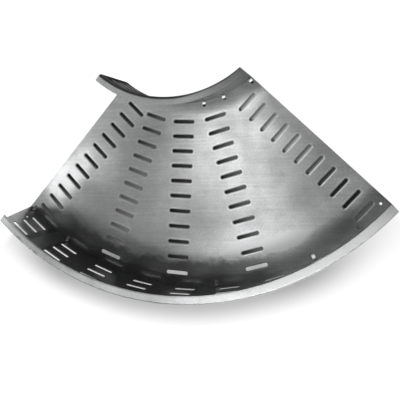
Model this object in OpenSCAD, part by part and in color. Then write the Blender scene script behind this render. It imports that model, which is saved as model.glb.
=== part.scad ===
// Horizontal bend for a perforated cable tray: a flat fan of punched sheet between two rolled,
// punched side walls, whose top edges are folded in over the tray.
// The outer wall is rolled round the bend's centre. The inner wall is rolled flatter, round a centre
// of its own further out. The part's origin is under the middle of its overall box.

/* [Bend] */
// Angle that the tray turns through
bend_angle = 90; // [84:1:100]
// Nominal inside radius of the bend
inner_radius = 150; // [140:1:320]
// Nominal width of the tray, over both walls
tray_width = 300; // [200:1:420]
// Overall height of the side walls, floor sheet included
wall_height = 75; // [72:1:110]
// Radius that the inner wall is rolled to, as a share of the nominal inside radius
inner_flatness = 1.22; // [1.1:0.01:1.25]
// Distance that the middle of the inner wall bows in past the nominal inside radius
inner_bow = 3.5; // [0:0.5:5]

/* [Left end] */
// Angle by which the left end is cut off square
left_skew = 3; // [0:0.1:3.5]
// Distance that the cut passes from the bend's centre, which leaves the inner wall longer
left_lead = 20; // [0:0.5:21]
// Angle by which the outer wall's end slopes back above the floor
outer_end_slope = 13; // [0:0.5:14]

/* [Sheet] */
// Thickness of the galvanised sheet
sheet = 1.5; // [1:0.1:2]
// Inside radius of every fold
fold_radius = 1.5; // [1:0.1:2.5]
// Width of the lip folded in along the top of each wall
lip_width = 13; // [9:0.5:20]

/* [Punched slots] */
// Length of a slot in the floor, over its round ends
slot_length = 38; // [24:0.5:40]
// Width of a slot in the floor
slot_width = 6.5; // [4:0.1:8]
// Length of a slot in a wall, over its round ends
wall_slot_length = 35; // [24:0.5:38]
// Width of a slot in a wall
wall_slot_width = 5.5; // [4:0.1:7]
// Distance between slot rows across the floor
row_pitch = 25; // [20:0.5:40]
// Distance from the nominal inside radius to the first row in the floor
first_row = 29; // [26:0.5:40]
// Least distance from the outer wall's back to the last row in the floor
last_row_margin = 18; // [14:0.5:30]
// Distance from each nominal end of the bend to the column of slots beside it
end_column_gap = 36; // [30:0.5:50]
// Places of the fan's three middle columns, as shares of half the bend's angle
fan_shares = [-0.455, -0.08, 0.325]; // [-0.46:0.005:0.46]
// Number of slot rows up each wall
wall_rows = 3; // [1:1:3]
// Height of the lowest slot row above the tray's underside
first_wall_row = 16; // [12:0.5:20]
// Distance between slot rows up the walls
wall_row_pitch = 19; // [14:0.5:20]
// Distance between slots along the walls, measured round their backs
wall_slot_pitch = 75; // [60:1:110]
// Least clear strip between a wall's last slots and its ends
wall_end_margin = 9; // [6:0.5:30]
// Distance that the inner wall's slots are set off from its middle, round its back
inner_slot_shift = -28; // [-30:0.5:20]
// Distance that the outer wall's slots are set off from its middle, round its back
outer_slot_shift = -7; // [-20:0.5:20]

/* [Fixing lugs] */
// Width of a lug, lanced from the floor and bent up against a wall
lug_width = 5; // [3:0.5:8]
// Width of the cut on either side of a lug
lug_gap = 0.4; // [0.3:0.1:1]
// Height of a lug's top above the floor sheet
lug_height = 6; // [4:0.5:9]
// Inside radius of a lug's tight fold
lug_fold_radius = 0.3; // [0.2:0.1:0.6]
// Clearance between the wall's web and the start of a lug's fold
lug_clearance = 0.1; // [0.05:0.05:0.3]
// Places of the lugs round the inner wall's own centre, as shares of half the bend's angle
inner_lug_shares = [-0.785, -0.495, 0.175, 0.42, 0.785]; // [-0.79:0.005:0.79]
// Places of the lugs along the outer wall, as shares of half the bend's angle
outer_lug_shares = [-0.965, -0.71, 0.12, 0.59, 0.825]; // [-0.97:0.005:0.97]

/* [Drilled holes] */
// Diameter of the small drilled holes
drill_d = 4; // [2:0.1:6]
// Distance of the floor's hole from the right end edge
floor_hole_end = 11; // [8:0.5:14]
// Distance of the floor's hole from the outer wall's back, along the end edge
floor_hole_side = 11.5; // [9:0.5:14]
// Distance of the outer wall's hole from the foot of its left end, round its back
wall_hole_end = 21.5; // [20:0.5:23]
// Height of the outer wall's hole above the tray's underside
wall_hole_height = 25; // [24:0.5:28]

/* [Hidden] */
$fn = 96;
cut = 1;
half_angle = bend_angle / 2;
outer_radius = inner_radius + tray_width;
fold_outside = fold_radius + sheet;
floor_rows = floor((tray_width - first_row - last_row_margin) / row_pitch) + 1;
// a lug is cut from a window in the floor that is as long as the lug and its fold
lug_window = lug_height + 2 * sheet;

// the inner wall's own radius, and how far its own centre is beyond the bend's centre
roll_radius = inner_radius * inner_flatness;
roll_offset = roll_radius - inner_radius + inner_bow;

// the left end's cutting line: its direction, and how far along it the two walls' backs are
left_angle = half_angle - left_skew;
left_inner_reach = -roll_offset * cos(left_angle)
    + sqrt(pow(roll_radius, 2) - pow(roll_offset * sin(left_angle) - left_lead, 2));
left_outer_reach = sqrt(pow(outer_radius, 2) - pow(left_lead, 2));
right_inner_reach = -roll_offset * cos(half_angle)
    + sqrt(pow(roll_radius, 2) - pow(roll_offset * sin(half_angle), 2));

// how far to the left of the bend's centre a point on the cutting line is, and how far in front
function left_x(reach) = reach * sin(left_angle) + left_lead * cos(left_angle);
function left_y(reach) = reach * cos(left_angle) - left_lead * sin(left_angle);

// the overall box: from the outer wall's left corner to its right one, and from the nearer of the
// inner wall's corners to the middle of the outer wall
box_x = (outer_radius * sin(half_angle) - left_x(left_outer_reach)) / 2;
box_y = (outer_radius + min(left_y(left_inner_reach), right_inner_reach * cos(half_angle))) / 2;

// the walls' ends, as angles round their own centres
inner_left = asin(left_x(left_inner_reach) / roll_radius);
inner_right = asin(right_inner_reach * sin(half_angle) / roll_radius);
outer_left = asin(left_x(left_outer_reach) / outer_radius);

// its contents with the bend's centre moved to its place in the part
module placed() {
    translate([-box_x, box_y, 0])
        children();
}

// its contents with X away from the bend's centre, turned by an angle from the bend's middle line
module turned(angle) {
    rotate([0, 0, 270 + angle])
        children();
}

// its contents moved to the inner wall's own centre
module rolled() {
    translate([0, roll_offset, 0])
        children();
}

// a section drawn as radius and height, swept past both ends of the bend
module sweep() {
    past = 12;
    rotate([0, 0, 270 - half_angle - past])
        rotate_extrude(angle = bend_angle + 2 * past, $fn = 360)
            children();
}

// all that lies beyond the bend's two end cuts
module beyond_ends() {
    size = 4 * outer_radius;
    turned(half_angle)
        translate([-size / 2, 0, -cut])
            cube([size, size, wall_height + 2 * cut]);
    turned(-left_angle)
        translate([-size / 2, -left_lead - size, -cut])
            cube([size, size, wall_height + 2 * cut]);
}

// what a slot's punch takes out: it lies along Y, with round ends, and goes through along Z
module slot_punch(length, width) {
    straight = length - width;
    linear_extrude(height = 2 * (sheet + cut), center = true) {
        square([width, straight], center = true);
        for (side = [-1, 1])
            translate([0, side * straight / 2])
                circle(d = width);
    }
}

// a quarter ring of sheet, open towards its centre and filling the corner away from +X and +Y
module fold_section(inside) {
    intersection() {
        difference() {
            circle(r = inside + sheet);
            circle(r = inside);
        }
        translate([-inside - sheet, -inside - sheet])
            square(inside + sheet);
    }
}

// a wall's section: its web's back is on X = 0, and its lip is folded over towards +X
module wall_section() {
    translate([0, sheet])
        square([sheet, wall_height - sheet - fold_outside]);
    translate([fold_outside, wall_height - fold_outside])
        mirror([0, 1])
            fold_section(fold_radius);
    translate([fold_outside, wall_height - sheet])
        square([lip_width - fold_outside, sheet]);
}

// the slots of a wall: as many columns as fit between its left and right ends, each with its rows
module wall_slots(back, shift, left, right) {
    degrees_per_mm = 180 / (PI * back);
    margin = wall_end_margin + wall_slot_length / 2;
    first = ceil((margin - left / degrees_per_mm - shift) / wall_slot_pitch);
    last = floor((right / degrees_per_mm - margin - shift) / wall_slot_pitch);
    for (column = [first:last], row = [0:wall_rows - 1])
        turned((shift + column * wall_slot_pitch) * degrees_per_mm)
            translate([back, 0, first_wall_row + row * wall_row_pitch])
                rotate([0, 90, 0])
                    slot_punch(wall_slot_length, wall_slot_width);
}

// the fan of slots: three columns on radii, and a column beside each end edge
module floor_slots() {
    for (row = [0:floor_rows - 1]) {
        reach = inner_radius + first_row + row * row_pitch;
        for (share = fan_shares)
            turned(share * half_angle)
                translate([reach, 0, 0])
                    slot_punch(slot_length, slot_width);
        for (side = [-1, 1])
            turned(side * half_angle)
                translate([reach, -side * end_column_gap, 0])
                    slot_punch(slot_length, slot_width);
    }
}

// its contents at each lug, with X = 0 on the wall's inside face and +X into the tray
module at_lugs() {
    for (share = inner_lug_shares)
        rolled()
            turned(share * half_angle)
                translate([roll_radius + sheet, 0, 0])
                    children();
    for (share = outer_lug_shares)
        turned(share * half_angle)
            translate([outer_radius - sheet, 0, 0])
                mirror([1, 0, 0])
                    children();
}

// the window that a lug leaves in the floor
module lug_window() {
    window_width = lug_width + 2 * lug_gap;
    translate([lug_clearance, -window_width / 2, -cut])
        cube([lug_window, window_width, sheet + 2 * cut]);
}

// a lug: its root is left on the floor beside the wall, and its blade stands up along the wall
module lug() {
    blade_foot = sheet + lug_fold_radius;
    translate([lug_clearance, lug_width / 2, 0])
        rotate([90, 0, 0])
            linear_extrude(height = lug_width) {
                translate([-lug_clearance, 0])
                    square([lug_clearance, sheet]);
                translate([0, blade_foot])
                    mirror([1, 0])
                        fold_section(lug_fold_radius);
                translate([lug_fold_radius, blade_foot])
                    square([sheet, lug_height - lug_fold_radius]);
            }
}

module floor_plate() {
    color("silver")
        placed() {
            difference() {
                cylinder(r = outer_radius, h = sheet, $fn = 360);
                rolled()
                    translate([0, 0, -cut])
                        cylinder(r = roll_radius, h = sheet + 2 * cut, $fn = 360);
                beyond_ends();
                floor_slots();
                at_lugs()
                    lug_window();
                turned(half_angle)
                    translate([outer_radius - floor_hole_side, -floor_hole_end, -cut])
                        cylinder(d = drill_d, h = sheet + 2 * cut);
            }
            at_lugs()
                lug();
        }
}

module inner_wall() {
    color("gainsboro")
        placed()
            difference() {
                rolled()
                    sweep()
                        translate([roll_radius, 0])
                            wall_section();
                beyond_ends();
                rolled()
                    wall_slots(roll_radius, inner_slot_shift, inner_left, inner_right);
            }
}

// what the outer wall's sloping left end leaves out
module outer_end_slope() {
    turned(-left_angle)
        translate([outer_radius / 2, -left_lead, sheet])
            rotate([-outer_end_slope, 0, 0])
                translate([0, -wall_height, -wall_height / 2])
                    cube([outer_radius, wall_height, 2 * wall_height]);
}

module outer_wall() {
    hole_angle = wall_hole_end * 180 / (PI * outer_radius) - outer_left;
    // the end that the slots keep clear of is where the slope has reached the top row
    top_row = first_wall_row + (wall_rows - 1) * wall_row_pitch;
    slope_back = (top_row - sheet) * tan(outer_end_slope) * 180 / (PI * outer_radius);
    color("lightgrey")
        placed()
            difference() {
                sweep()
                    translate([outer_radius, 0])
                        mirror([1, 0])
                            wall_section();
                beyond_ends();
                outer_end_slope();
                wall_slots(outer_radius, outer_slot_shift, outer_left - slope_back, half_angle);
                turned(hole_angle)
                    translate([outer_radius, 0, wall_hole_height])
                        rotate([0, 90, 0])
                            cylinder(d = drill_d, h = 2 * (sheet + cut), center = true);
            }
}

floor_plate();
inner_wall();
outer_wall();
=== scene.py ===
"""Looks for a perforated cable tray bend in galvanised sheet, seen from above on white."""

import math

import bpy
from mathutils import Matrix, Vector


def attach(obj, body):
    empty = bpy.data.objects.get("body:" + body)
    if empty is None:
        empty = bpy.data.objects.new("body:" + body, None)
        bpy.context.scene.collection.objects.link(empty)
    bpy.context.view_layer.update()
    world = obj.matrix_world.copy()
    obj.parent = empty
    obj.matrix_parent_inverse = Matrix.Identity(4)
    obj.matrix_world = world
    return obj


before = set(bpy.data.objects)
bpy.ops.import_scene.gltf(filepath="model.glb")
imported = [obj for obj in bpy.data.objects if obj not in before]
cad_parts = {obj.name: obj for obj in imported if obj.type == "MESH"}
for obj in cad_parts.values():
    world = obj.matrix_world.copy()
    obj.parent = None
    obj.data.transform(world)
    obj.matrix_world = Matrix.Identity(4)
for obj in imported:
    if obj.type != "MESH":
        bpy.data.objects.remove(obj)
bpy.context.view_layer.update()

# The tray's own measures, in metres, as the part's source has them
SHEET = 0.0015
INNER_RADIUS = 0.150
OUTER_RADIUS = 0.450
HALF_ANGLE = math.radians(45)
BEND_CENTRE = Vector((-0.001262, 0.276208, 0.0))
# The inner wall is rolled round a centre of its own, beyond the bend's centre
ROLL_RADIUS = 0.183
ROLL_CENTRE = BEND_CENTRE + Vector((0.0, 0.0365, 0.0))
# The left end is cut along a line that misses the bend's centre
LEFT_ANGLE = math.radians(42)
LEFT_LEAD = 0.020
# The tray's shadow on the ground is a band round a centre of its own
SHADOW_CENTRE = BEND_CENTRE + Vector((-0.037, 0.035, 0.0))
# The floor's slots: length and width, rows, and each column's angle and offset
FLOOR_SLOT = (0.038, 0.0065)
FIRST_FLOOR_ROW = 0.179
ROW_PITCH = 0.025
FLOOR_ROWS = 11
FLOOR_COLUMNS = [(share * HALF_ANGLE, 0.0) for share in (-0.455, -0.08, 0.325)]
LEFT_COLUMN = (-HALF_ANGLE, 0.036)
RIGHT_COLUMN = (HALF_ANGLE, -0.036)
FLOOR_COLUMNS += [LEFT_COLUMN, RIGHT_COLUMN]
# The painted light on the ground under each column's slots, how bright it is at their left and right
# ends; the right end's column is painted by itself
SEEN_THROUGH = [(0.010, 0.07), (0.004, 0.028), (0.012, 0.10), (0.003, 0.022), (0.0, 0.0)]
# The walls' slots: length and width, rows, and how far apart they are along the wall
WALL_SLOT = (0.035, 0.0055)
FIRST_WALL_ROW = 0.016
WALL_ROW_PITCH = 0.019
WALL_ROWS = 3
WALL_SLOT_PITCH = 0.075
# Broad soft patches of the floor: angle, radius, length, width, and how much brighter they are
FLOOR_TONE_PATCHES = [
    (15.0, 0.396, 0.100, 0.030, 0.85),
    (8.0, 0.250, 0.036, 0.060, 0.30),
    (31.0, 0.320, 0.030, 0.050, -0.30),
    (40.0, 0.270, 0.022, 0.100, -0.22),
    (-31.0, 0.372, 0.045, 0.040, -0.18),
    (-8.0, 0.385, 0.060, 0.020, -0.20),
    (-21.0, 0.240, 0.040, 0.080, -0.10),
    (5.0, 0.335, 0.036, 0.055, -0.26),
    (28.0, 0.385, 0.035, 0.030, -0.18),
    (42.5, 0.400, 0.028, 0.045, 0.45),
    (-8.0, 0.260, 0.045, 0.070, 0.16),
    (-33.0, 0.300, 0.030, 0.035, 0.14),
    (-42.0, 0.380, 0.020, 0.030, 0.40),
    (22.0, 0.412, 0.045, 0.014, 0.60),
    (35.0, 0.188, 0.022, 0.014, 0.50),
    (-37.0, 0.180, 0.040, 0.030, 0.28),
    (21.0, 0.168, 0.045, 0.009, 0.20),
]
# How high the lights overhead are, and how far from the middle the upright panels stand
LIGHT_HEIGHT = 1.6
PANEL_DISTANCE = 3.0
# Each wall's centre, the radius of its back, and its slots' shift, first and last column
INNER_WALL = (ROLL_CENTRE, ROLL_RADIUS, -0.028, -1, 1)
OUTER_WALL = (BEND_CENTRE, OUTER_RADIUS, -0.007, -4, 4)


def set_camera():
    """The photo's view: nearly straight down, a little from the right, with its framing off centre."""
    right = Vector((0.977388, -0.033881, -0.208721))
    up = Vector((0.051784, 0.995374, 0.080920))
    back = Vector((0.205014, -0.089899, 0.974622))
    place = BEND_CENTRE + Vector((0.24866, -0.23609, 0.58016))
    lens = bpy.data.cameras.new("camera")
    lens.sensor_width = 36.0
    lens.lens = 32.8672
    lens.shift_x = -0.15759
    lens.shift_y = -0.20060
    lens.clip_start = 0.01
    camera = bpy.data.objects.new("camera", lens)
    turned = Matrix((right, up, back)).transposed().to_4x4()
    camera.matrix_world = Matrix.Translation(place) @ turned
    bpy.context.scene.collection.objects.link(camera)
    bpy.context.scene.camera = camera


class Field:
    """A value or vector in a material. Sums and products of fields add the maths nodes for them."""

    def __init__(self, tree, socket):
        self.tree = tree
        self.socket = socket

    def maths(self, operation, *values, clamp=False):
        node = self.tree.nodes.new("ShaderNodeMath")
        node.operation = operation
        node.use_clamp = clamp
        for place, value in zip(node.inputs, values):
            feed(self.tree, place, value)
        return Field(self.tree, node.outputs[0])

    def __add__(self, other):
        return self.maths("ADD", self, other)

    def __radd__(self, other):
        return self.maths("ADD", other, self)

    def __sub__(self, other):
        return self.maths("SUBTRACT", self, other)

    def __rsub__(self, other):
        return self.maths("SUBTRACT", other, self)

    def __mul__(self, other):
        return self.maths("MULTIPLY", self, other)

    def __rmul__(self, other):
        return self.maths("MULTIPLY", other, self)

    def __truediv__(self, other):
        return self.maths("DIVIDE", self, other)

    def __rtruediv__(self, other):
        return self.maths("DIVIDE", other, self)

    def __pow__(self, other):
        return self.maths("POWER", self, other)

    def clamped(self):
        return self.maths("ADD", self, 0.0, clamp=True)

    def size(self):
        """The field without its sign."""
        return self.maths("ABSOLUTE", self)

    def rising(self, low, high):
        """0 where the field is below low, 1 above high, and a smooth rise between."""
        node = self.tree.nodes.new("ShaderNodeMapRange")
        node.interpolation_type = "SMOOTHSTEP"
        feed(self.tree, node.inputs["Value"], self)
        node.inputs["From Min"].default_value = low
        node.inputs["From Max"].default_value = high
        return Field(self.tree, node.outputs["Result"])


def feed(tree, place, value):
    """Links a field to an input, or sets the input to a plain number or colour."""
    if isinstance(value, Field):
        tree.links.new(value.socket, place)
    else:
        place.default_value = value


class Nodes:
    """A node tree being made."""

    def node(self, kind, inputs, out=0, **settings):
        """Adds a node, sets it up and feeds its inputs, and gives back one of its outputs."""
        node = self.tree.nodes.new(kind)
        for name, value in settings.items():
            setattr(node, name, value)
        for name, value in inputs.items():
            feed(self.tree, node.inputs[name], value)
        return Field(self.tree, node.outputs[out])


class Finish(Nodes):
    """A material being made, with short ways of adding nodes to it."""

    def __init__(self, name):
        self.material = bpy.data.materials.new(name)
        self.material.use_nodes = True
        self.tree = self.material.node_tree
        self.tree.nodes.clear()
        self.output = self.tree.nodes.new("ShaderNodeOutputMaterial")

    def vector(self, x, y, z):
        return self.node("ShaderNodeCombineXYZ", {"X": x, "Y": y, "Z": z})

    def noise(self, vector, scale, detail=3.0, roughness=0.5, distortion=0.0):
        inputs = {
            "Vector": vector,
            "Scale": scale,
            "Detail": detail,
            "Roughness": roughness,
            "Distortion": distortion,
        }
        return self.node("ShaderNodeTexNoise", inputs, out=0)

    def mix(self, share, first, second):
        """A colour between two colours."""
        node = self.tree.nodes.new("ShaderNodeMix")
        node.data_type = "RGBA"
        feed(self.tree, node.inputs[0], share)
        feed(self.tree, node.inputs[6], first)
        feed(self.tree, node.inputs[7], second)
        return Field(self.tree, node.outputs[2])

    def bump(self, strength, distance, height):
        inputs = {"Strength": strength, "Distance": distance, "Height": height}
        return self.node("ShaderNodeBump", inputs, out="Normal")

    def surface(self, shader):
        self.tree.links.new(shader.socket, self.output.inputs["Surface"])
        return self.material


def grey(level):
    """A neutral colour."""
    return (level, level, level, 1.0)


class Bend(Finish):
    """A finish that knows where a point is round the bend. Its distances are in metres, and its
    angles are in radians from the bend's middle line, more to the right."""

    def __init__(self, name):
        super().__init__(name)
        self.point = self.node("ShaderNodeTexCoord", {}, out="Object")
        self.x, self.y, self.z = [
            self.node("ShaderNodeSeparateXYZ", {"Vector": self.point}, out=axis) for axis in "XYZ"
        ]
        self.across, self.ahead = self.x - BEND_CENTRE.x, BEND_CENTRE.y - self.y
        self.radius, self.angle = self.round_about(BEND_CENTRE)

    def round_about(self, centre):
        """How far a point is from a centre, and its angle from the bend's middle line."""
        across = self.x - centre.x
        ahead = centre.y - self.y
        radius = (across * across + ahead * ahead) ** 0.5
        return radius, across.maths("ARCTAN2", across, ahead)

    def spot(self, degrees, radius, long, wide, soft=0.5):
        """A soft patch on the bend: 1 in its middle and 0 past its edge. It is placed by its angle in
        degrees and its radius; long is its half length round the bend and wide its half width."""
        across = (self.angle - math.radians(degrees)) * (radius / long)
        out = (self.radius - radius) * (1 / wide)
        away = (across * across + out * out) ** 0.5
        return 1 - away.rising(1 - soft, 1 + soft)

    def from_slot(self, sideways, lengthways, size):
        """How far a point is from a slot's edge, from how far it is from the slot's middle."""
        length, width = size
        past = lengthways.size() - (length - width) / 2
        past = past.maths("MAXIMUM", past, 0.0)
        return (sideways * sideways + past * past) ** 0.5 - width / 2

    def from_nearest(self, along, pitch, first, last):
        """How far a point is from the nearest of a row of places, numbered from first to last."""
        number = along.maths("ROUND", along / pitch)
        number = number.maths("MINIMUM", number.maths("MAXIMUM", number, first), last)
        return along - number * pitch

    def in_column(self, angle, offset):
        """Where a point is in a column of the floor's slots: how far out from the bend's centre,
        how far to the right of the slots' middle, and how far past the nearest slot's middle."""
        out = self.across * math.sin(angle) + self.ahead * math.cos(angle)
        beside = self.across * math.cos(angle) - self.ahead * math.sin(angle) - offset
        past = self.from_nearest(out - FIRST_FLOOR_ROW, ROW_PITCH, 0, FLOOR_ROWS - 1)
        return out, beside, past

    def from_floor_slots(self):
        """How far a point is from the edge of the nearest slot in the floor."""
        nearest = None
        for angle, offset in FLOOR_COLUMNS:
            _, beside, past = self.in_column(angle, offset)
            edge = self.from_slot(past, beside, FLOOR_SLOT)
            nearest = edge if nearest is None else edge.maths("MINIMUM", nearest, edge)
        return nearest

    def from_wall_slots(self, centre, radius, shift, first, last):
        """How far a point on a wall is from the edge of the nearest slot in it."""
        _, turn = self.round_about(centre)
        column = self.from_nearest(turn * radius - shift, WALL_SLOT_PITCH, first, last)
        row = self.from_nearest(self.z - FIRST_WALL_ROW, WALL_ROW_PITCH, 0, WALL_ROWS - 1)
        return self.from_slot(row, column, WALL_SLOT)


def wall_tones(finish, level, patches, wall, lip, web, back):
    """The sheet's brightness on a wall, from its even brightness, with light and shade painted in. The
    lip and the web each have a painted light level for the left and one for the right, and the web's
    back and the fold at its top have a painted shade level."""
    angle, z = finish.angle, finish.z
    side = angle.rising(-0.6, 0.6)
    # painted light: the lip and the web each get a level of their own, left and right, for how the
    # light falls on them
    lip_painted_light, web_painted_light = [left + (right - left) * side for left, right in (lip, web)]
    level = level * (web_painted_light + (lip_painted_light - web_painted_light) * z.rising(0.068, 0.0735))
    centre, radius = wall[:2]
    from_back = finish.round_about(centre)[0] - radius
    # painted shade on the wall's back face and on the fold at its top, set by back
    behind = (1 - from_back.rising(0.0001, 0.0005)) * (1 - z.rising(0.070, 0.073))
    fold_shade = (1 - from_back.rising(0.0028, 0.0055)) * z.rising(0.0715, 0.0730)
    fold_shade = fold_shade * (1 - angle.rising(0.0, 0.45))
    level = level * (1 + (back - 1) * (behind + fold_shade).clamped())
    # painted shade along the lip's free edge, left of the middle
    free_edge_shade = (0 - from_back).rising(0.0100, 0.0122) * (1 - side)
    level = level * (1 - 0.5 * free_edge_shade)
    # the outer wall's lip is made darker left of the middle, and brighter right of it
    lip_darker = finish.spot(-12.0, 0.443, 0.130, 0.040)
    brighter = finish.spot(31.0, 0.443, 0.080, 0.040)
    level = level * (1 + (brighter * 0.15 - lip_darker * 0.30) * z.rising(0.0725, 0.0740))
    # small dark stains on the outer wall's lip, at the left
    stains = finish.spot(-36.3, 0.4475, 0.006, 0.0035) + finish.spot(-31.6, 0.4480, 0.004, 0.003)
    return level * (1 - 0.4 * stains.clamped() * (0.4 + patches))


def floor_tones(finish, level, patches):
    """The sheet's brightness on the floor plate, from its even brightness."""
    radius, angle = finish.radius, finish.angle
    # the floor is made brighter at its left end
    bright = (finish.spot(-41.0, 0.342, 0.022, 0.050, 0.6) * (0.7 + patches * 0.6)).clamped()
    level = level * (1 + bright * 0.65)
    # painted shade and a painted dark reflection of the outer wall, in a band along it, most of all in
    # the middle
    uneven = (patches - 0.5) * 0.030 - 0.006 * angle.rising(0.0, 0.25)
    wall_shade_band = (radius + uneven).rising(0.401, 0.416)
    middle = angle.rising(-0.9, -0.2) * (1 - angle.rising(0.10, 0.55))
    level = level * (1 - wall_shade_band * (0.32 + middle * 0.34))
    # brighter again beside the inner wall, most of all at its right end
    beside = 1 - radius.rising(0.160, 0.205)
    level = level * (1 + beside * 0.22 + finish.spot(43.0, 0.172, 0.040, 0.022, 0.7) * 0.4)
    for degrees, out, long, wide, gain in FLOOR_TONE_PATCHES:
        level = level * (1 + gain * finish.spot(degrees, out, long, wide, 0.8))
    return level


def right_rims(finish, level, rolled_over):
    """Painted light from the right: the far rim of each slot in the column at the right end is painted
    brighter as a highlight, and the near rim darker as shade.
    """
    _, beside, past = finish.in_column(*RIGHT_COLUMN)
    rim = (1 - beside.size().rising(0.020, 0.023)) * rolled_over
    far_rim = rim * past.rising(0.0015, 0.0030)
    near_rim = rim * (0 - past).rising(0.0015, 0.0030)
    return level * (1 + far_rim * 2.2) * (1 - near_rim * 0.5)


def galvanised(name, wall=None, lip=(1.0, 1.0), web=(1.0, 1.0), back=1.0, edge_on_shade=1.0):
    """Zinc coated sheet: half bright metal with cloudy patches, fine grain and faint rolling
    streaks. The streaks run round the bend on a wall, and straight across the flat floor.
    A wall's reflection can be dimmed where it is seen edge on, as painted shade."""
    finish = Bend(name)
    place, x, y, z = finish.point, finish.x, finish.y, finish.z
    if wall:
        along = finish.angle * (INNER_RADIUS + OUTER_RADIUS) / 2
        streaks = finish.vector(along * 6.0, finish.radius * 60.0, z * 420.0)
        slot_edge = finish.from_wall_slots(*wall)
    else:
        streaks = finish.vector(x * 10.0, y * 260.0, z)
        slot_edge = finish.from_floor_slots()
    clouds = finish.noise(place, 9.0, detail=4.0, roughness=0.55, distortion=0.6)
    patches = finish.noise(place, 42.0, detail=3.0, roughness=0.6, distortion=0.3)
    streak = finish.noise(streaks, 1.0, detail=3.0, roughness=0.55)
    grain = finish.noise(place, 480.0, detail=1.0, roughness=0.6)
    worn = (clouds * 0.58 + patches * 0.24 + streak * 0.18).rising(0.30, 0.70)
    level = (0.44 + worn * 0.24) * (0.77 + grain * 0.46) * (0.93 + streak * 0.14)
    if wall:
        level = wall_tones(finish, level, patches, wall, lip, web, back)
    else:
        level = floor_tones(finish, level, patches)
    # the punch rounds a slot's edge over, and the rounded edge is painted darker as shade; a line
    # beside it is made brighter
    rolled_over = 1 - slot_edge.rising(0.0, 0.0014)
    edge_bright_line = slot_edge.rising(0.0008, 0.0016) * (1 - slot_edge.rising(0.0018, 0.0036))
    level = level * (1 - rolled_over * 0.45) * (1 + edge_bright_line * 0.22)
    if not wall:
        level = right_rims(finish, level, rolled_over)
    tone = finish.mix(level.clamped(), grey(0.0), (0.985, 0.997, 1.0, 1.0))
    inputs = {
        "Base Color": tone,
        "Roughness": 0.35 - worn * 0.06 + (streak - 0.5) * 0.06,
        "Metallic": 1.0,
        # edge-on reflection dimmed as painted shade
        "Specular Tint": grey(edge_on_shade),
        "Normal": finish.bump(0.10, 0.0006, streak * 0.45 + patches * 0.55 - rolled_over * 3.0),
    }
    return finish.surface(finish.node("ShaderNodeBsdfPrincipled", inputs))


def cut_edge():
    """The pale torn metal inside a punched slot, with its own small pits."""
    finish = Bend("cut_edge")
    pits = finish.noise(finish.point, 1500.0, detail=2.0)
    inputs = {
        "Base Color": finish.mix(pits.rising(0.3, 0.7), grey(0.50), grey(0.82)),
        "Roughness": 0.42 - pits * 0.1,
        "Metallic": 0.6,
        "Normal": finish.bump(0.15, 0.0001, pits),
    }
    return finish.surface(finish.node("ShaderNodeBsdfPrincipled", inputs))


def under_tray(finish):
    """Where the tray covers the ground, and the painted shade and light on the ground there."""
    radius, angle = finish.radius, finish.angle
    own_radius, _ = finish.round_about(ROLL_CENTRE)
    # how far a point is inside each end's cutting line
    from_left = finish.across * math.cos(LEFT_ANGLE) + finish.ahead * math.sin(LEFT_ANGLE) + LEFT_LEAD
    from_right = finish.ahead * math.sin(HALF_ANGLE) - finish.across * math.cos(HALF_ANGLE)
    inside = (
        own_radius.rising(0.1875, 0.1900)
        * (1 - radius.rising(OUTER_RADIUS - 0.002, OUTER_RADIUS))
        * from_left.rising(0.0, 0.004)
        * from_right.rising(0.0, 0.004)
    )
    shade_unevenness = finish.noise(finish.point, 30.0, detail=2.0)
    # under the last row of slots, except near the ends, and under the two ends' last slots
    last_row = radius.rising(0.412, 0.420) * (1 - radius.rising(0.436, 0.441))
    last_row = last_row * (1 - angle.size().rising(0.48, 0.60))
    corner = (1 - from_right.rising(0.050, 0.070)) * radius.rising(0.412, 0.420)
    left_end = (1 - from_left.rising(0.060, 0.080)) * radius.rising(0.414, 0.422)
    middle_left = finish.spot(-20.0, 0.335, 0.045, 0.085, 0.5)
    # the right end's slots are dark at their near side and left end, and darker further out
    out, beside, past = finish.in_column(*RIGHT_COLUMN)
    near_tone = 0.12 * (1 - out.rising(0.26, 0.36))
    far_tone = 0.02 + 0.40 * (1 - out.rising(0.27, 0.385))
    right_end = near_tone + (far_tone - near_tone) * past.rising(-0.0022, 0.0030)
    right_end = right_end * (1 - beside.size().rising(0.020, 0.024))
    right_end = right_end * (0.1 + 0.9 * beside.rising(-0.0185, -0.0125))
    # light comes in from the right, so the other slots show paler floor at their right end
    through = None
    for (turn, offset), (dark, pale) in zip(FLOOR_COLUMNS, SEEN_THROUGH):
        _, beside, _ = finish.in_column(turn, offset)
        column = 1 - beside.size().rising(0.022, 0.027)
        seen = column * (dark + (pale - dark) * beside.rising(-0.019, 0.019))
        if (turn, offset) == LEFT_COLUMN:
            seen = seen * (1 + 3.5 * radius.rising(0.34, 0.42))
        through = seen if through is None else through + seen
    # white under the drilled hole and the lugs' windows, of which one is the brightest
    drilled = (1 - from_right.rising(0.012, 0.016)) * radius.rising(0.420, 0.430)
    lugs = radius.rising(0.437, 0.440) * (1 - drilled)
    under = (
        shade_unevenness * 0.016
        + through * (1 - 0.8 * radius.rising(0.405, 0.420))
        + drilled
        + lugs * (0.03 + 0.6 * finish.spot(26.5, 0.4455, 0.005, 0.004))
        + last_row * (0.05 + 0.22 * angle.rising(-0.30, -0.15) + shade_unevenness * 0.40)
        + right_end
        + corner * 0.06
        + left_end * 0.035
        + middle_left * 0.06
    )
    return inside, under


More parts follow.
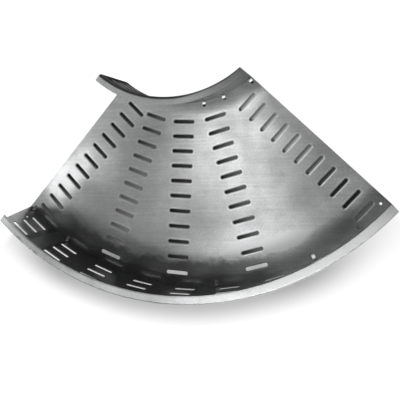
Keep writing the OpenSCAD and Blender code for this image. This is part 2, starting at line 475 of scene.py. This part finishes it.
def tray_shadow(finish):
    """The tray's soft shadow: a band outside the outer wall, moved to the left, that fades at its
    ends. It is an even grey close to the wall, where the photo shows it only through the slots."""
    radius, angle = finish.radius, finish.angle
    shadow_radius, shadow_angle = finish.round_about(SHADOW_CENTRE)
    outside = radius.rising(0.440, 0.450)
    turned = shadow_angle.size()
    cast = (1 - shadow_radius.rising(0.513, 0.572)) ** 1.6
    cast = cast * (0.33 + 0.28 * shadow_radius.rising(0.506, 0.516)) * outside
    cast = cast * (1 - 0.85 * turned.rising(0.40, 0.76))
    aside = turned.rising(0.25, 0.55) * (1 - turned.rising(0.70, 0.84))
    aside = aside * 0.13 * (1 - shadow_radius.rising(0.510, 0.610)) * outside
    close = (1 - shadow_radius.rising(0.504, 0.514)) * outside * 0.40
    close = close * (1 - angle.rising(0.660, 0.775)) * (1 + 0.5 * (1 - angle.rising(-0.72, -0.60)))
    shadow = close.maths("MAXIMUM", cast + aside, close)
    return shadow * (1 - angle.size().rising(0.750, 0.795))


def ground_paint():
    """A pale floor that shows white, with the tray's soft shadow on it, and is clear from below.
    It is dark where the tray covers it, and paler where light comes in under the tray."""
    finish = Bend("pale_floor")
    inside, under = under_tray(finish)
    shadow = tray_shadow(finish)
    # the camera sees the ground as glow, with the tray's painted shadow and the painted shade under
    # the tray in it
    glow = finish.node(
        "ShaderNodeEmission", {"Color": (1 - inside) * (1 - shadow) + inside * under}
    )
    open_floor = finish.mix(inside, grey(0.20), grey(0.0))
    seen_diffuse = finish.node("ShaderNodeBsdfDiffuse", {"Color": open_floor})
    lit = finish.node("ShaderNodeAddShader", {0: seen_diffuse, 1: glow})
    # what the metal sees of the floor: the lamps' light on it and a dim even glow, painted in for
    # reflections only
    camera_ray = finish.node("ShaderNodeLightPath", {}, out="Is Camera Ray")
    glossy_ray = finish.node("ShaderNodeLightPath", {}, out="Is Glossy Ray")
    shade = finish.mix(inside, grey(0.86), grey(0.03))
    diffuse = finish.node("ShaderNodeBsdfDiffuse", {"Color": shade})
    reflection_glow_tone = finish.mix(glossy_ray, grey(0.0), grey(0.32))
    reflection_glow = finish.node("ShaderNodeEmission", {"Color": reflection_glow_tone})
    mirrored = finish.node("ShaderNodeAddShader", {0: diffuse, 1: reflection_glow})
    seen = finish.node("ShaderNodeMixShader", {0: camera_ray, 1: mirrored, 2: lit})
    behind = finish.node("ShaderNodeNewGeometry", {}, out="Backfacing")
    clear = finish.node("ShaderNodeBsdfTransparent", {})
    return finish.surface(finish.node("ShaderNodeMixShader", {0: behind, 1: seen, 2: clear}))


class Builder(Nodes):
    """A geometry recipe being made, with named inputs that are set when it is used."""

    def __init__(self, name):
        self.tree = bpy.data.node_groups.new(name, "GeometryNodeTree")
        self.start = self.tree.nodes.new("NodeGroupInput")
        self.inputs = {}

    def input(self, name, kind):
        place = self.tree.interface.new_socket(name=name, in_out="INPUT", socket_type=kind)
        self.inputs[name] = place.identifier
        return Field(self.tree, self.start.outputs[place.identifier])

    def finish(self, geometry):
        self.tree.interface.new_socket(
            name="Geometry", in_out="OUTPUT", socket_type="NodeSocketGeometry"
        )
        self.tree.links.new(geometry.socket, self.tree.nodes.new("NodeGroupOutput").inputs[0])
        return self

    def make(self, name, material, values):
        """A plain mesh object made by the recipe with the given values."""
        holder = bpy.data.objects.new(name + "_recipe", bpy.data.meshes.new(name + "_recipe"))
        bpy.context.scene.collection.objects.link(holder)
        step = holder.modifiers.new("recipe", "NODES")
        step.node_group = self.tree
        for label, value in {**values, "Material": material}.items():
            step[self.inputs[label]] = value
        bpy.context.view_layer.update()
        ready = holder.evaluated_get(bpy.context.evaluated_depsgraph_get())
        mesh = bpy.data.meshes.new_from_object(ready)
        holder.modifiers.clear()
        bpy.data.objects.remove(holder)
        made = bpy.data.objects.new(name, mesh)
        bpy.context.scene.collection.objects.link(made)
        return made


def slot_edge_recipe():
    """The torn edge that the punch leaves inside each slot of a grid of slots. The grid is laid
    out flat, then turned round to a column of the fan, or rolled round a wall's centre."""
    build = Builder("slot_edges")
    columns = build.input("Columns", "NodeSocketInt")
    first_column = build.input("First Column", "NodeSocketFloat")
    column_pitch = build.input("Column Pitch", "NodeSocketFloat")
    rows = build.input("Rows", "NodeSocketInt")
    first_row = build.input("First Row", "NodeSocketFloat")
    row_pitch = build.input("Row Pitch", "NodeSocketFloat")
    length = build.input("Slot Length", "NodeSocketFloat")
    width = build.input("Slot Width", "NodeSocketFloat")
    thickness = build.input("Edge Thickness", "NodeSocketFloat")
    depth = build.input("Depth", "NodeSocketFloat")
    roll = build.input("Roll Radius", "NodeSocketFloat")
    turn = build.input("Turn", "NodeSocketFloat")
    centre = build.input("Centre", "NodeSocketVector")
    material = build.input("Material", "NodeSocketMaterial")
    number = build.node("GeometryNodeInputIndex", {})
    row = number.maths("FLOOR", (number + 0.01) / columns)
    column = number - row * columns
    spot = build.node(
        "ShaderNodeCombineXYZ",
        {"X": first_column + column * column_pitch, "Y": first_row + row * row_pitch, "Z": depth},
    )
    points = build.node("GeometryNodePoints", {"Count": rows * columns, "Position": spot})
    inset = thickness * 0.6
    outline = build.node(
        "GeometryNodeCurvePrimitiveQuadrilateral",
        {"Width": length - inset * 2, "Height": width - inset * 2},
        mode="RECTANGLE",
    )
    rounded = build.node(
        "GeometryNodeFilletCurve",
        {"Curve": outline, "Count": 9, "Radius": width / 2 - inset * 1.01, "Limit Radius": True},
        mode="POLY",
    )
    profile = build.node("GeometryNodeCurvePrimitiveCircle", {"Resolution": 6, "Radius": thickness})
    edge = build.node("GeometryNodeCurveToMesh", {"Curve": rounded, "Profile Curve": profile})
    placed = build.node("GeometryNodeInstanceOnPoints", {"Points": points, "Instance": edge})
    real = build.node("GeometryNodeRealizeInstances", {"Geometry": placed})
    position = build.node("GeometryNodeInputPosition", {})
    along, up, deep = [
        build.node("ShaderNodeSeparateXYZ", {"Vector": position}, out=axis) for axis in "XYZ"
    ]
    # flat in the floor: along is to the right, up is away from the bend's centre
    sine, cosine = turn.maths("SINE", turn), turn.maths("COSINE", turn)
    flat = build.node(
        "ShaderNodeCombineXYZ",
        {"X": up * sine + along * cosine, "Y": along * sine - up * cosine, "Z": deep},
    )
    # upright in a wall: along is round the centre
    round_by = along / roll.maths("MAXIMUM", roll, 0.001)
    out = roll + deep
    rolled = build.node(
        "ShaderNodeCombineXYZ",
        {
            "X": out * round_by.maths("SINE", round_by),
            "Y": 0.0 - out * round_by.maths("COSINE", round_by),
            "Z": up,
        },
    )
    is_rolled = roll.maths("GREATER_THAN", roll, 0.0)
    chosen = build.tree.nodes.new("ShaderNodeMix")
    chosen.data_type = "VECTOR"
    feed(build.tree, chosen.inputs[0], is_rolled)
    feed(build.tree, chosen.inputs[4], flat)
    feed(build.tree, chosen.inputs[5], rolled)
    final = build.node(
        "ShaderNodeVectorMath",
        {0: Field(build.tree, chosen.outputs[1]), 1: centre},
        operation="ADD",
    )
    moved = build.node("GeometryNodeSetPosition", {"Geometry": real, "Position": final})
    return build.finish(
        build.node("GeometryNodeSetMaterial", {"Geometry": moved, "Material": material})
    )


def add_slot_edges(material):
    """Torn edges inside all the slots, each column of the fan and each wall as one piece."""
    recipe = slot_edge_recipe()
    floor_values = {
        "Columns": 1,
        "Column Pitch": 0.0,
        "Rows": FLOOR_ROWS,
        "First Row": FIRST_FLOOR_ROW,
        "Row Pitch": ROW_PITCH,
        "Slot Length": FLOOR_SLOT[0],
        "Slot Width": FLOOR_SLOT[1],
        "Edge Thickness": 0.00032,
        "Depth": SHEET * 0.5,
        "Roll Radius": 0.0,
        "Centre": BEND_CENTRE,
    }
    made = []
    for number, (turn, offset) in enumerate(FLOOR_COLUMNS):
        values = {**floor_values, "Turn": turn, "First Column": offset}
        made.append(recipe.make("floor_slot_edges_%d" % (number + 1), material, values))
    wall_values = {
        "Column Pitch": WALL_SLOT_PITCH,
        "Rows": WALL_ROWS,
        "First Row": FIRST_WALL_ROW,
        "Row Pitch": WALL_ROW_PITCH,
        "Slot Length": WALL_SLOT[0],
        "Slot Width": WALL_SLOT[1],
        "Edge Thickness": 0.00050,
        "Turn": 0.0,
    }
    walls = {"inner": (INNER_WALL, SHEET / 2), "outer": (OUTER_WALL, -SHEET / 2)}
    for name, ((centre, radius, shift, first, last), depth) in walls.items():
        values = {
            **wall_values,
            "Columns": last - first + 1,
            "First Column": shift + first * WALL_SLOT_PITCH,
            "Depth": depth,
            "Roll Radius": radius,
            "Centre": centre,
        }
        made.append(recipe.make(name + "_wall_slot_edges", material, values))
    for piece in made:
        for face in piece.data.polygons:
            face.use_smooth = True
        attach(piece, "root")


def plane(name, half, height):
    """A level square that reaches half its width to each side of the origin."""
    mesh = bpy.data.meshes.new(name)
    corners = [(x * half, y * half, height) for x, y in ((-1, -1), (1, -1), (1, 1), (-1, 1))]
    mesh.from_pydata(corners, [], [(0, 1, 2, 3)])
    made = bpy.data.objects.new(name, mesh)
    bpy.context.scene.collection.objects.link(made)
    return made


def softbox(name, place, width, height, brightness, aim=None):
    """A soft rectangular light of an even brightness: facing down, or facing its aim."""
    light = bpy.data.lights.new(name, "AREA")
    light.shape = "RECTANGLE"
    light.size = width
    light.size_y = height
    light.energy = brightness * math.pi * width * height
    made = bpy.data.objects.new(name, light)
    made.location = place
    if aim:
        made.rotation_mode = "QUATERNION"
        made.rotation_quaternion = (Vector(place) - Vector(aim)).to_track_quat("Z", "Y")
    made.visible_camera = False
    bpy.context.scene.collection.objects.link(made)
    return made


def set_world():
    """An even dim studio for the metal to reflect, which the camera sees as white."""
    world = bpy.data.worlds.new("studio")
    world.use_nodes = True
    tree = world.node_tree
    tree.nodes.clear()
    room = tree.nodes.new("ShaderNodeBackground")
    room.inputs["Color"].default_value = grey(0.07)
    white = tree.nodes.new("ShaderNodeBackground")
    white.inputs["Color"].default_value = grey(1.0)
    ray = tree.nodes.new("ShaderNodeLightPath")
    choose = tree.nodes.new("ShaderNodeMixShader")
    output = tree.nodes.new("ShaderNodeOutputWorld")
    tree.links.new(ray.outputs["Is Camera Ray"], choose.inputs[0])
    tree.links.new(room.outputs[0], choose.inputs[1])
    tree.links.new(white.outputs[0], choose.inputs[2])
    tree.links.new(choose.outputs[0], output.inputs["Surface"])
    bpy.context.scene.world = world


def set_light():
    """A small bright softbox overhead, a wide one in front, and dimmer ones at the sides."""
    set_world()
    softbox("key_softbox", (-0.34, 0.01, LIGHT_HEIGHT), 0.50, 0.70, 2.5)
    softbox("front_softbox", (-0.15, -1.25, LIGHT_HEIGHT), 2.2, 0.75, 2.9)
    softbox("front_left_softbox", (-1.40, -0.82, LIGHT_HEIGHT), 0.7, 0.30, 2.0)
    softbox("left_softbox", (-1.80, 0.22, LIGHT_HEIGHT), 0.7, 1.1, 1.8)
    softbox("right_softbox", (0.50, -0.55, LIGHT_HEIGHT), 0.6, 0.35, 1.0)
    # dim upright panels all round, for the views from the side and from below
    for name, x, y in (("front", 0, -1), ("back", 0, 1), ("left", -1, 0), ("right", 1, 0)):
        place = (x * PANEL_DISTANCE, y * PANEL_DISTANCE, 0.9)
        softbox(name + "_panel", place, 5.0, 1.5, 0.36, aim=(0.0, 0.0, 0.3))


def dress():
    """The three sheets keep their own meshes, and each gets its own zinc finish."""
    finishes = {
        "floor_plate": galvanised("galvanised_floor"),
        # the walls' lip and web levels are painted light, and back and the edge-on dimming are painted
        # shade
        "inner_wall": galvanised(
            "galvanised_inner_wall",
            INNER_WALL,
            lip=(1.55, 0.50),
            web=(1.25, 1.00),
            back=0.15,
            edge_on_shade=0.2,
        ),
        "outer_wall": galvanised(
            "galvanised_outer_wall", OUTER_WALL, lip=(1.45, 1.50), web=(0.68, 0.42)
        ),
    }
    for name, material in finishes.items():
        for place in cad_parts[name].material_slots:
            place.link = "OBJECT"
            place.material = material


bpy.context.scene.view_settings.view_transform = "Standard"
set_camera()
set_light()
ground = plane("ground", half=4.0, height=-0.0005)
ground.data.materials.append(ground_paint())
dress()
add_slot_edges(cut_edge())
